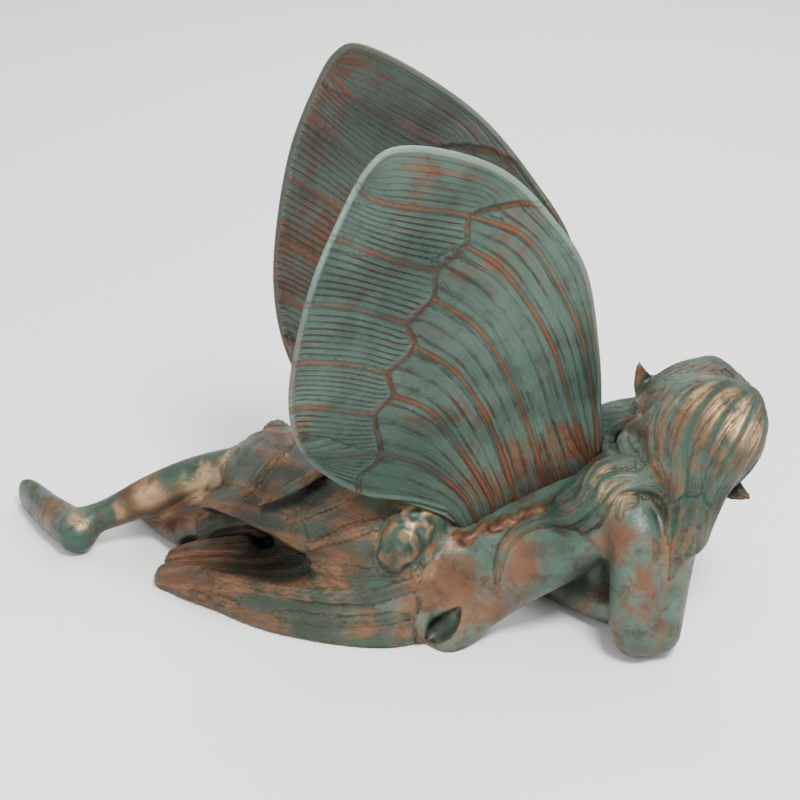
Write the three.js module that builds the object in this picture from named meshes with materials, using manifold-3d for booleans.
// Garden statue of a reclining fairy with two tall wings, seen lying on its side.
// Millimetres. +X runs from the feet to the head, +Y away from the front, +Z up.
// The origin is on the flat underside, below the hips.
// Three solids: the figure with its hair and skirt, and the two wings, which are
// bonded into slots in the back with a gap of 0.4 mm all round.
import * as THREE from "three";
import Module from "manifold-3d";

const wasm = await Module();
wasm.setup();
const { Manifold, Mesh } = wasm;

// Main sizes. The tables below are drawn for a figure 410 long and wings 230 high,
// and everything is scaled from them to these.
const FIGURE_LENGTH = 410;
const WING_RISE = 230;
const UNIT = FIGURE_LENGTH / 410;
const WING_UNIT = WING_RISE / (230 * UNIT);

const FIT = 0.4;              // gap between a wing and its slot
const CLEAN = 1.5;            // flatness that small facets are joined to
const SLOT_CLEAN = 0.03;      // the same once the wing slots are cut
const SPAN_STEPS = 1;         // rings per span between two stations

// solids

function toManifold(geometry) {
  const position = geometry.getAttribute("position");
  const mesh = new Mesh({
    numProp: 3,
    vertProperties: new Float32Array(position.array),
    triVerts: new Uint32Array(geometry.getIndex().array),
  });
  mesh.merge();
  const solid = Manifold.ofMesh(mesh);
  return solid;
}

function toGeometry(solid) {
  const mesh = solid.getMesh();
  const points = new Float32Array(mesh.numVert * 3);
  for (let i = 0; i < mesh.numVert; i++) {
    for (let k = 0; k < 3; k++) {
      points[3 * i + k] = mesh.vertProperties[mesh.numProp * i + k];
    }
  }
  const geometry = new THREE.BufferGeometry();
  geometry.setAttribute("position", new THREE.BufferAttribute(points, 3));
  geometry.setIndex(new THREE.BufferAttribute(new Uint32Array(mesh.triVerts), 1));
  geometry.computeVertexNormals();
  return geometry;
}

// Turns a closed sheet of triangles the right way out.
function facingOut(points, faces) {
  let volume = 0;
  const cross = new THREE.Vector3();
  for (const [a, b, c] of faces) {
    volume += points[a].dot(cross.crossVectors(points[b], points[c]));
  }
  const index = [];
  for (const [a, b, c] of faces) {
    index.push(a, ...(volume < 0 ? [c, b] : [b, c]));
  }
  const flat = new Float32Array(points.length * 3);
  points.forEach((p, i) => p.toArray(flat, 3 * i));
  const geometry = new THREE.BufferGeometry();
  geometry.setAttribute("position", new THREE.BufferAttribute(flat, 3));
  geometry.setIndex(new THREE.BufferAttribute(new Uint32Array(index), 1));
  return geometry;
}

// Smooth rows between the stations of a form: centre, two half widths.
function smoothRows(stations, steps) {
  const centres = new THREE.CatmullRomCurve3(
    stations.map((s) => new THREE.Vector3(s[0], s[1], s[2])), false, "catmullrom", 0.5);
  const widths = new THREE.CatmullRomCurve3(
    stations.map((s) => new THREE.Vector3(s[3], s[4] ?? s[3], 0)), false, "catmullrom", 0.5);
  const count = (stations.length - 1) * steps;
  const rows = [];
  for (let i = 0; i <= count; i++) {
    const t = i / count;
    const wide = widths.getPoint(t);
    rows.push({
      centre: centres.getPoint(t).multiplyScalar(UNIT),
      tangent: centres.getTangent(t),
      across: Math.max(wide.x, 0.4) * UNIT,
      deep: Math.max(wide.y, 0.4) * UNIT,
    });
  }
  return rows;
}

// A rounded limb through stations [x, y, z, half width across, half depth].
// "side" is the direction that the first half width is measured along. Without it, the
// direction starts upward and is carried along the limb without a twist.
function limb(stations, { side, endSide = side, sides = 10, steps = SPAN_STEPS } = {}) {
  const rows = smoothRows(stations, steps);
  const points = [];
  const faces = [];
  const steep = Math.abs(rows[0].tangent.z) > 0.9;
  const carried = new THREE.Vector3(0, steep ? 1 : 0, steep ? 0 : 1);
  const ring = (row, t, slide, scale) => {
    const across = carried.clone();
    if (side) {
      across.set(...side).lerp(new THREE.Vector3(...endSide), t);
    }
    across.addScaledVector(row.tangent, -across.dot(row.tangent)).normalize();
    carried.copy(across);
    const deep = new THREE.Vector3().crossVectors(row.tangent, across);
    const start = points.length;
    for (let k = 0; k < sides; k++) {
      const angle = (2 * Math.PI * k) / sides;
      points.push(row.centre.clone()
        .addScaledVector(row.tangent, slide)
        .addScaledVector(across, row.across * scale * Math.cos(angle))
        .addScaledVector(deep, row.deep * scale * Math.sin(angle)));
    }
    return start;
  };
  const starts = [];
  const last = rows.length - 1;
  const capTurn = Math.PI / 4;
  const capSize = (row) => Math.min(row.across, row.deep);
  const first = rows[0];
  const end = rows[last];
  points.push(first.centre.clone().addScaledVector(first.tangent, -capSize(first)));
  starts.push(ring(first, 0, -capSize(first) * Math.sin(capTurn), Math.cos(capTurn)));
  rows.forEach((row, i) => starts.push(ring(row, i / last, 0, 1)));
  starts.push(ring(end, 1, capSize(end) * Math.sin(capTurn), Math.cos(capTurn)));
  points.push(end.centre.clone().addScaledVector(end.tangent, capSize(end)));
  const tip = points.length - 1;
  for (let k = 0; k < sides; k++) {
    const next = (k + 1) % sides;
    faces.push([0, starts[0] + next, starts[0] + k]);
    for (let i = 0; i + 1 < starts.length; i++) {
      const a = starts[i];
      const b = starts[i + 1];
      faces.push([a + k, a + next, b + k], [a + next, b + next, b + k]);
    }
    faces.push([starts[starts.length - 1] + k, starts[starts.length - 1] + next, tip]);
  }
  return toManifold(facingOut(points, faces));
}

// A ball with three half sizes along the axes of a frame.
function ball(centre, size, frame, around = 16, down = 11) {
  const geometry = new THREE.SphereGeometry(1, around, down);
  const turn = new THREE.Matrix4().makeBasis(frame.right, frame.face, frame.up);
  geometry.scale(...size);
  geometry.applyMatrix4(turn);
  geometry.translate(centre.x, centre.y, centre.z);
  geometry.scale(UNIT, UNIT, UNIT);
  return toManifold(geometry);
}

const WORLD = {
  right: new THREE.Vector3(1, 0, 0),
  face: new THREE.Vector3(0, 1, 0),
  up: new THREE.Vector3(0, 0, 1),
};

// wings

// Edge of a wing in side view (x, z), from the front of its root round to the rear.
const MARGIN = [
  [100.6, 106], [100, 120], [97, 155], [88, 199], [70, 229], [46, 257], [18, 275], [-10, 285],
  [-24, 279], [-36, 258], [-48, 228], [-56, 192], [-59, 160], [-55, 133], [-44, 112],
  [-22, 90], [6, 79], [22, 70.5],
];
const ROOT_FRONT = [101, 93];
const ROOT_REAR = [32, 55];
const ROOT_MIDDLE = [66, 74];
const WING_YAW = THREE.MathUtils.degToRad(6);
const YAW_CENTRE_X = 10;
const TAB_DEPTH = 10;          // length of wing hidden in the slot
const ROOT_HALF_THICK = 2.6;
const EDGE_HALF_THICK = 1.3;
const RIM_HALF = 0.7;          // extra half thickness of the rim
const VEIN_HALF = 0.6;         // extra half thickness of a vein
const VEIN_HALF_TURN = 0.007;  // half width of a vein, as a share of the fan
const VEINS = [0.1, 0.21, 0.31, 0.41, 0.51, 0.61, 0.71, 0.81, 0.9];
const CHAIN_HALF_REACH = 0.022;

// Where the cross vein runs on each ray: a zigzag about the middle of the wing.
function chainReach(turn) {
  const zigzag = 0.045 * Math.cos((turn - VEINS[1]) / 0.1 * Math.PI);
  return 0.56 + 0.06 * Math.sin(turn * Math.PI) + zigzag;
}

function wingSheetY(x, z) {
  const back = (100 - x) / 150;
  const height = z - (56 + (x - 32) * 0.515);
  return 11 + height * (0.05 + 0.33 * back);
}

// Puts a point of the side view on the leaning sheet of one wing, "off" from its middle.
function onWing(x, z, side, off) {
  const y = side * wingSheetY(x, z) + off;
  const c = Math.cos(WING_YAW);
  const s = Math.sin(WING_YAW);
  return new THREE.Vector3(
    c * (x - YAW_CENTRE_X) - s * y + YAW_CENTRE_X, s * (x - YAW_CENTRE_X) + c * y, z,
  ).multiplyScalar(UNIT);
}

function wingRay(turn) {
  const edge = new THREE.CatmullRomCurve3(
    MARGIN.map(([x, z]) => new THREE.Vector3(
      ROOT_MIDDLE[0] + (x - ROOT_MIDDLE[0]) * WING_UNIT, 0,
      ROOT_MIDDLE[1] + (z - ROOT_MIDDLE[1]) * WING_UNIT)), false, "catmullrom", 0.5);
  const outer = edge.getPointAt(turn);
  const inner = new THREE.Vector3(
    THREE.MathUtils.lerp(ROOT_FRONT[0], ROOT_REAR[0], turn), 0,
    THREE.MathUtils.lerp(ROOT_FRONT[1], ROOT_REAR[1], turn));
  const run = edge.getTangentAt(turn);
  const inward = new THREE.Vector3(-run.z, 0, run.x);
  const middle = new THREE.Vector3(20, 0, 160);
  if (inward.dot(middle.sub(outer)) < 0) {
    inward.negate();
  }
  const reach = outer.distanceTo(inner);
  const straight = outer.clone().add(inner).multiplyScalar(0.5);
  const square = outer.clone().addScaledVector(inward, reach * 0.5);
  const ends = THREE.MathUtils.clamp(Math.min(turn, 1 - turn) / 0.12, 0, 1);
  const bend = straight.lerp(square, 0.3 * ends);
  return new THREE.QuadraticBezierCurve3(inner, bend, outer);
}

// One wing as a closed two sided sheet. "grow" swells it to make the slot.
function wing(side, grow) {
  const turns = [0, 0.05];
  VEINS.forEach((vein, i) => {
    turns.push(vein - VEIN_HALF_TURN, vein, vein + VEIN_HALF_TURN);
    turns.push((vein + (VEINS[i + 1] ?? 1)) / 2);
  });
  turns.push(1);
  const tabDrop = new THREE.Vector3(0.458, 0, -0.889).multiplyScalar((TAB_DEPTH + grow) / UNIT);
  const sheets = [[], []];
  const points = [];
  for (const turn of turns) {
    const ray = wingRay(turn);
    const chain = chainReach(turn);
    const reaches = [-1, 0, 0.2, chain - CHAIN_HALF_REACH, chain, chain + CHAIN_HALF_REACH, 0.95, 1];
    const onVein = VEINS.some((vein) => Math.abs(vein - turn) < 1e-6);
    const atSide = turn === 0 || turn === 1;
    const columns = [[], []];
    reaches.forEach((reach, row) => {
      const at = ray.getPoint(Math.max(reach, 0));
      if (reach < 0) {
        at.add(tabDrop);
      }
      if (atSide) {
        const along = ray.getTangent(Math.max(reach, 0));
        const away = new THREE.Vector3(along.z, 0, -along.x);
        at.addScaledVector(away, (turn === 0 ? grow : -grow) / UNIT);
      }
      if (reach === 1) {
        at.addScaledVector(ray.getTangent(1), (1.5 * grow) / UNIT);
      }
      const share = Math.max(reach, 0);
      let half = THREE.MathUtils.lerp(ROOT_HALF_THICK, EDGE_HALF_THICK, Math.sqrt(share));
      if (reach === chain || (onVein && row >= 2 && reach < 0.9)) {
        half += VEIN_HALF;
      }
      if (row === reaches.length - 2) {
        half += RIM_HALF;
      }
      if (atSide) {
        half *= 0.75;
      }
      half = (half + grow) / UNIT;
      for (const face of [0, 1]) {
        columns[face].push(points.length);
        points.push(onWing(at.x, at.z, side, face === 0 ? -half : half));
      }
    });
    sheets[0].push(columns[0]);
    sheets[1].push(columns[1]);
  }
  const faces = [];
  const quad = (a, b, c, d) => faces.push([a, b, c], [a, c, d]);
  const rows = sheets[0][0].length;
  for (let i = 0; i + 1 < turns.length; i++) {
    for (let j = 0; j + 1 < rows; j++) {
      const [front, back] = sheets;
      quad(front[i][j], front[i + 1][j], front[i + 1][j + 1], front[i][j + 1]);
      quad(back[i][j], back[i][j + 1], back[i + 1][j + 1], back[i + 1][j]);
    }
    for (const j of [0, rows - 1]) {
      const loop = [sheets[0][i][j], sheets[1][i][j], sheets[1][i + 1][j], sheets[0][i + 1][j]];
      quad(...(j === 0 ? loop : loop.reverse()));
    }
  }
  for (const i of [0, turns.length - 1]) {
    for (let j = 0; j + 1 < rows; j++) {
      const loop = [sheets[0][i][j], sheets[0][i][j + 1], sheets[1][i][j + 1], sheets[1][i][j]];
      quad(...(i === 0 ? loop : loop.reverse()));
    }
  }
  return toManifold(facingOut(points, faces));
}

// head

const headUp = new THREE.Vector3(0.766, 0.241, 0.596).normalize();
const headFace = new THREE.Vector3(0.05, 0.93, -0.36);
headFace.addScaledVector(headUp, -headFace.dot(headUp)).normalize();
const headRight = new THREE.Vector3().crossVectors(headFace, headUp);
const HEAD = { right: headRight, face: headFace, up: headUp };
const HEAD_CENTRE = new THREE.Vector3(148, 5, 105);

// A point given as right, forward and up from the middle of the head.
function onHead(right, forward, up) {
  return HEAD_CENTRE.clone()
    .addScaledVector(headRight, right)
    .addScaledVector(headFace, forward)
    .addScaledVector(headUp, up);
}

function headStations(list) {
  return list.map(([right, forward, up, across, deep]) => [
    ...onHead(right, forward, up).toArray(), across, deep]);
}

function headParts() {
  const parts = [
    ball(onHead(0, -2, 2), [30.5, 34.5, 34.5], HEAD),
    ball(onHead(0, 13, -18), [20.5, 19, 19], HEAD, 12, 8),
    ball(onHead(0, -7, 3), [33, 34, 34], HEAD, 16, 11),
    limb(headStations([[0, 30, 4, 2.2, 2], [0, 36, -6, 3, 3.4], [0, 34, -9, 3.4, 2]]), { side: [1, 0, 0], sides: 8 }),
    limb(headStations([[-5, 30, -18, 1.6, 1.6], [0, 32, -18, 2.4, 2.2], [5, 30, -18, 1.6, 1.6]]), { sides: 6 }),
  ];
  const earTip = { 1: [43.5, -8, 1], [-1]: [45.5, -6, 1] };
  for (const hand of [1, -1]) {
    const [tipRight, tipForward, tipUp] = earTip[hand];
    parts.push(limb(headStations([
      [hand * 27, 2, -4, 7, 4], [hand * 36, -2, -2, 4.4, 2.6],
      [hand * tipRight, tipForward, tipUp, 1.2, 1]]), { side: headUp.toArray(), sides: 8 }));
    parts.push(limb(headStations([
      [hand * 5, 27, 6, 2, 2], [hand * 13, 27.5, 8, 2.4, 2], [hand * 21, 22, 5, 1.8, 2]]), { sides: 6 }));
  }
  return parts;
}

// hair

// Locks as [x, y, z, radius], from the crown or the nape to the tip.
const LOCKS = [
  [[130, -29, 101, 4.5], [120, -29, 97, 4.5], [110, -26, 96, 4.5], [101, -25, 92, 4.2], [95, -29, 83, 4],
    [85, -30, 75, 3.8], [73, -23, 70, 3.4], [61, -23, 65, 3], [53, -26, 57, 2.6], [50, -29, 48, 2.2], [49, -31, 39, 1.2]],
  [[132, -30, 94, 4.5], [118, -30, 94, 4], [109, -29, 91, 4], [102, -30, 84, 3.8], [97, -31, 75, 3.4], [91, -30, 68, 1.8]],
  [[114, -24, 103, 3.5], [102, -20, 99, 3.8], [95, -22, 93, 3.8], [91, -27, 85, 3.6], [83, -28, 80, 3], [74, -19, 75, 1.6]],
  [[131, -21, 128, 4], [121, -16, 120, 4], [115, -8, 111, 3.8], [111, -15, 108, 3.6], [115, -22, 104, 3.4], [119, -27, 100, 2.6]],
  [[119, -9, 119, 3.4], [109, 2, 108, 3.6], [105, 0, 101, 3.6], [105, -14, 102, 3.2], [110, -22, 101, 2.4]],
  [[114, -33, 86, 2.8], [110, -33, 85, 2.6], [109, -35, 80, 2.2], [110, -37, 74, 1.2]],
  [[166, -16, 135, 4], [150, -14, 140, 4.6], [137, -15, 137, 5], [130, -20, 128, 5], [127, -24, 118, 4.8],
    [128, -27, 109, 4.8], [131, -30, 100, 4.6]],
  [[168, -16, 134, 3], [153, -18, 138, 4.6], [141, -22, 134, 5], [133, -27, 123, 5], [132, -29, 111, 5], [134, -30, 96, 4.2], [137, -31, 82, 2.6]],
  [[169, -15, 134, 3], [157, -20, 137, 4.6], [146, -27, 131, 5], [139, -31, 119, 5], [138, -32, 103, 5],
    [138, -32, 86, 4.4], [140, -36, 74, 3.4], [142, -38, 64, 1.8]],
  [[170, -16, 133, 3], [163, -22, 132, 4.6], [154, -30, 126, 5], [147, -34, 113, 5], [144, -32, 95, 5],
    [142, -35, 81, 4.4], [137, -37, 63, 3.4], [134, -41, 51, 2]],
  [[171, -16, 132, 3], [169, -22, 128, 4.6], [162, -31, 120, 5], [154, -34, 108, 5], [150, -32, 92, 4.8], [146, -36, 77, 4], [145, -38, 64, 2.6]],
  [[173, -15, 130, 3], [176, -18, 122, 4.6], [172, -26, 113, 5], [164, -31, 103, 4.8], [157, -31, 90, 4.4], [151, -35, 77, 3.4], [149, -36, 66, 2.2]],
];

const CROWN = [-1, -30, 26, 3, 2.5];   // where the hair parts: right, forward, up, half widths

// Long wavy locks of the far side of the head, which fall behind the left shoulder.
function farLocks() {
  const locks = [];
  for (const turn of [-0.75, -0.35, 0.05, 0.45, 0.85]) {
    const path = [CROWN];
    for (let step = 1; step <= 4; step++) {
      const down = 0.35 + step * 0.42;
      const wave = 1.6 * Math.sin(step * 2.1 + turn * 3);
      const reach = 33 - 1.5 * step;
      const right = -reach * Math.sin(down) * Math.cos(turn) + wave;
      const forward = -7 + reach * Math.sin(down) * Math.sin(turn);
      const up = 3 + reach * Math.cos(down);
      path.push([right, forward, up, 4.8 - 0.35 * step, 4 - 0.3 * step]);
    }
    locks.push(limb(headStations(path), { sides: 5 }));
  }
  return locks;
}

function hairParts() {
  const masses = [
    limb([[140, -14, 108, 20, 12], [122, -18, 100, 17, 9], [104, -20, 88, 15, 7], [84, -24, 76, 10, 6]], { side: [0, 0.6, 0.8] }),
    limb([[132, 10, 104, 20, 12], [114, 22, 104, 18, 10], [96, 30, 100, 12, 8]], { side: [0, 0.7, 0.7] }),
    limb([[148, -18, 98, 15, 14], [142, -28, 79, 13, 12], [136, -33, 62, 8, 9], [130, -36, 46, 6, 7]],
      { side: [0, 1, 0] }),
  ];
  const locks = LOCKS.map((lock) => limb(lock, { sides: 4 }));
  return [...masses, ...locks, ...farLocks()];
}

// body

// Toes of a foot that lies on its side, the great toe lowest.
function toes(x, y, z, reachX, reachY, size) {
  const parts = [];
  for (let toe = 0; toe < 5; toe++) {
    const thick = size * (toe === 0 ? 1.1 : 0.86 - 0.04 * toe);
    const level = z + (toe - 2) * size * 1.1;
    const long = size * (2 - 0.3 * toe);
    parts.push(limb([
      [x, y, level, thick, thick],
      [x + reachX * long, y + reachY * long, level, thick * 0.8, thick * 0.8],
    ], { sides: 5 }));
  }
  return parts;
}

function bodyParts() {
  return [
    limb([[-8, 4, 36, 36, 29], [25, -4, 31, 27, 20], [58, -6, 46, 30, 23], [88, -1, 62, 32, 23], [108, 2, 74, 31, 18]],
      { side: [0.1, 0.3, 0.95], endSide: [-0.2, 0.945, 0.26], sides: 12, steps: 2 }),
    limb([[-6, -8, 24, 22, 24], [6, -10, 24, 20, 24]], { side: [0, 1, 0], sides: 14 }),
    limb([[70, -6, 34, 13, 14], [48, -15, 22, 12, 13], [32, -23, 11, 12, 12], [25, -26, 3, 11, 10]],
      { side: [0, 1, 0], sides: 12 }),
    limb([[112, 2, 82, 15, 14], [124, -3, 91, 12, 12], [134, -4, 99, 12, 12]], { side: [0, 1, 0], sides: 10 }),
    limb([[114, -20, 76, 17, 16], [119, -32, 63, 15, 15], [119, -38, 40, 14, 14], [119, -40, 22, 14, 14], [120, -40, 14, 12.5, 12]],
      { side: [1, 0, 0], sides: 12 }),
    limb([[131, -38, 14, 11, 11], [134, -36, 34, 10.5, 11], [140, -28, 58, 9, 9], [144, -22, 70, 7.5, 8]], { side: [1, 0, 0] }),
    limb([[144, -22, 70, 8, 8], [149, -13, 78, 11, 6], [154, -4, 84, 10, 5]], { side: [1, 0.2, 0], sides: 8 }),
    limb([[100, 30, 84, 17, 16], [98, 40, 62, 14, 14], [84, 42, 34, 12.5, 12.5], [72, 38, 13, 12, 12]], { side: [1, 0, 0] }),
    limb([[70, 34, 12, 12, 11.5], [86, 16, 12, 11.5, 11], [105, -4, 12, 10, 12], [117, -15, 10, 8, 9]], { sides: 10 }),
    limb([[117, -15, 9, 8, 6.5], [129, -22, 8, 6, 9], [138, -27, 5, 4, 7]], { sides: 8 }),
    limb([[100, 8, 50, 16, 14], [104, 2, 30, 9, 10], [104, -2, 16, 8, 9]], { side: [0, 1, 0], sides: 10 }),
    limb([[-15, 12, 52, 26, 26], [-45, 50, 50, 21, 21], [-76, 84, 45, 14, 14]], { sides: 12 }),
    limb([[-80, 84, 45, 13.5, 13.5], [-112, 84, 39, 12, 12], [-139, 80, 29.5, 11, 11], [-161, 77, 20.5, 8.5, 8.5], [-174, 74, 16.5, 8.5, 9]]),
    limb([[-179, 69, 10.5, 10, 11], [-184, 76, 12, 11, 10.5], [-197, 93, 11, 11, 9], [-211, 115, 9, 11, 6.5], [-217, 124, 7, 9, 4.5]]),
    ...toes(-216, 123, 8, -0.42, 0.9, 3.1),
    limb([[-10, 25, 26, 24, 24], [-48, 122, 22, 18, 18]], { steps: 3 }),
    limb([[-50, 124, 19, 17, 17], [-84, 102, 16, 13, 13], [-112, 82, 14, 9, 9]], { sides: 10 }),
    limb([[-117, 72, 12, 11, 12], [-135, 92, 11, 10, 8], [-151, 112, 9, 8, 5]], { sides: 10 }),
    ...toes(-150, 111, 8, -0.6, 0.78, 2.5),
  ];
}

// skirt

const FOLDS = [
  [[-56, 66, 75, 2.4], [-62, 45, 73, 3], [-72, 35, 65, 3], [-84, 31, 56, 1]],
  [[-37, 14, 81, 2.4], [-56, 8, 71, 3], [-74, 14, 58, 1]],
  [[-14, 0, 76, 2], [-36, -2, 68, 3], [-57, 3, 55, 1]],
  [[-4, -16, 65, 2], [-25, -16, 59, 3], [-46, -8, 46, 1]],
  [[-122, 42, 8, 1.6], [-95, 14, 17, 3], [-57, -13, 23, 3.4], [-20, -26, 27, 3.4], [5, -27, 35, 2.6]],
  [[-118, 20, 4, 1.6], [-89, 1, 8, 3], [-51, -20, 12, 3.4], [-15, -29, 16, 3.4], [6, -27, 20, 2.6]],
  [[-52, -6, 33, 1.4], [-25, -20, 39, 3], [-2, -25, 43, 2.4]],
  [[5, -24, 50, 2.4], [11, -27, 36, 3], [12, -30, 20, 3], [11, -31, 8, 2.4]],
];

function skirtParts() {
  const lying = [0.398, 0.917, 0];
  return [
    limb([[-124, 34, 2, 9, 10], [-106, 31, 2, 18, 15], [-86, 25, 2, 24, 20], [-60, 14, 2, 31, 29],
      [-34, 5, 2, 33, 38], [-12, -1, 4, 32, 42], [-2, -3, 4, 28, 34]], { side: lying, sides: 14 }),
    limb([[-122, 48, 4, 7, 9], [-108, 48, 4, 13, 14], [-88, 44, 4, 18, 18]], { side: lying, sides: 10 }),
    limb([[20, -2, 34, 27, 24], [-8, 8, 43, 33, 33], [-40, 36, 46, 31, 35], [-66, 72, 47, 25, 31], [-80, 80, 47, 15, 24]],
      { sides: 14 }),
    limb([[-40, 14, 46, 18, 22], [-75, 46, 42, 14, 24], [-102, 62, 35, 5, 14]]),
    limb([[4, 20, 26, 25, 26], [-26, 60, 28, 25, 26], [-54, 94, 30, 20, 20]], { sides: 12 }),
    limb([[-106, 68, 10, 12, 8], [-92, 66, 16, 18, 8], [-68, 60, 20, 22, 10]], { sides: 8 }),
    limb([[-136, 84, 17, 7, 8], [-118, 80, 20, 11, 10], [-96, 76, 24, 14, 12]], { sides: 8 }),
    limb([[-66, 88, 58, 9, 9], [-68, 88, 66, 6, 6]], { sides: 10 }),
    ...FOLDS.map((fold) => limb(fold, { sides: 4 })),
  ];
}

// The rolled bud of cloth in the small of the back, with wrapped petals.
function budParts() {
  const parts = [limb([[20, -6, 62, 8, 7], [10, -14, 62, 12, 10], [3, -20, 57, 13, 11], [-3, -25, 51, 9, 9]], { sides: 10 })];
  for (let petal = 0; petal < 3; petal++) {
    const path = [];
    for (let step = 0; step <= 4; step++) {
      const angle = petal * 2.1 + step * 0.75;
      const reach = 9.5 - 1.1 * petal;
      path.push([1 + reach * Math.cos(angle) * 0.9, -26 - 1.2 * petal - 3 * Math.cos(angle), 57 + reach * Math.sin(angle), 2.4, 2]);
    }
    parts.push(limb(path, { side: [0, 1, 0], sides: 6 }));
  }
  return parts;
}

function seamParts() {
  const lumps = [[40, -16, 60, 6], [50, -17, 65, 7], [61, -17, 70, 6.5], [73, -18, 75, 6], [86, -19, 80, 5],
    [34, 19, 58, 6], [47, 21, 66, 7], [62, 22, 74, 6.5], [78, 24, 83, 6]];
  return lumps.map(([x, y, z, size]) =>
    ball(new THREE.Vector3(x, y, z), [size * 1.25, size, size * 0.8], WORLD, 6, 4));
}

// figure

function figure() {
  const cave = limb([[-138, 52, 26, 12, 10], [-105, 36, 28, 13, 22], [-80, 22, 30, 13, 22], [-60, 0, 32, 9, 14], [-50, -14, 32, 3, 6]],
    { sides: 10 });
  const notch = limb([[17, -41, 1, 1.5, 4], [18, -40, 9, 5, 6], [19, -38, 16, 9, 6]],
    { side: [1, 0, 0], sides: 8 });
  const below = new THREE.BoxGeometry(2 * FIGURE_LENGTH, 2 * FIGURE_LENGTH, FIGURE_LENGTH / 4);
  below.translate(0, 0, -FIGURE_LENGTH / 8);
  const skirt = Manifold.union(skirtParts()).subtract(cave);
  const whole = Manifold.union([
    skirt, ...bodyParts(), ...budParts(), ...headParts(), ...hairParts(), ...seamParts(),
  ]).subtract(notch);
  const slots = Manifold.union([wing(-1, FIT), wing(1, FIT)]);
  const plain = whole.subtract(toManifold(below)).simplify(CLEAN);
  const pieces = plain.subtract(slots).simplify(SLOT_CLEAN).decompose();
  pieces.sort((a, b) => b.volume() - a.volume());
  return pieces[0];
}

// group

const group = new THREE.Group();
group.name = "fairy_statue";

function add(name, solid, colour) {
  const material = new THREE.MeshStandardMaterial({ color: colour, roughness: 0.6, metalness: 0.35 });
  material.name = `${name}_patina`;
  const mesh = new THREE.Mesh(toGeometry(solid), material);
  mesh.name = name;
  group.add(mesh);
}

add("fairy_figure", figure(), 0x7d8274);
add("wing_right", wing(-1, 0), 0x6f8f86);
add("wing_left", wing(1, 0), 0x6b8880);

export default group;
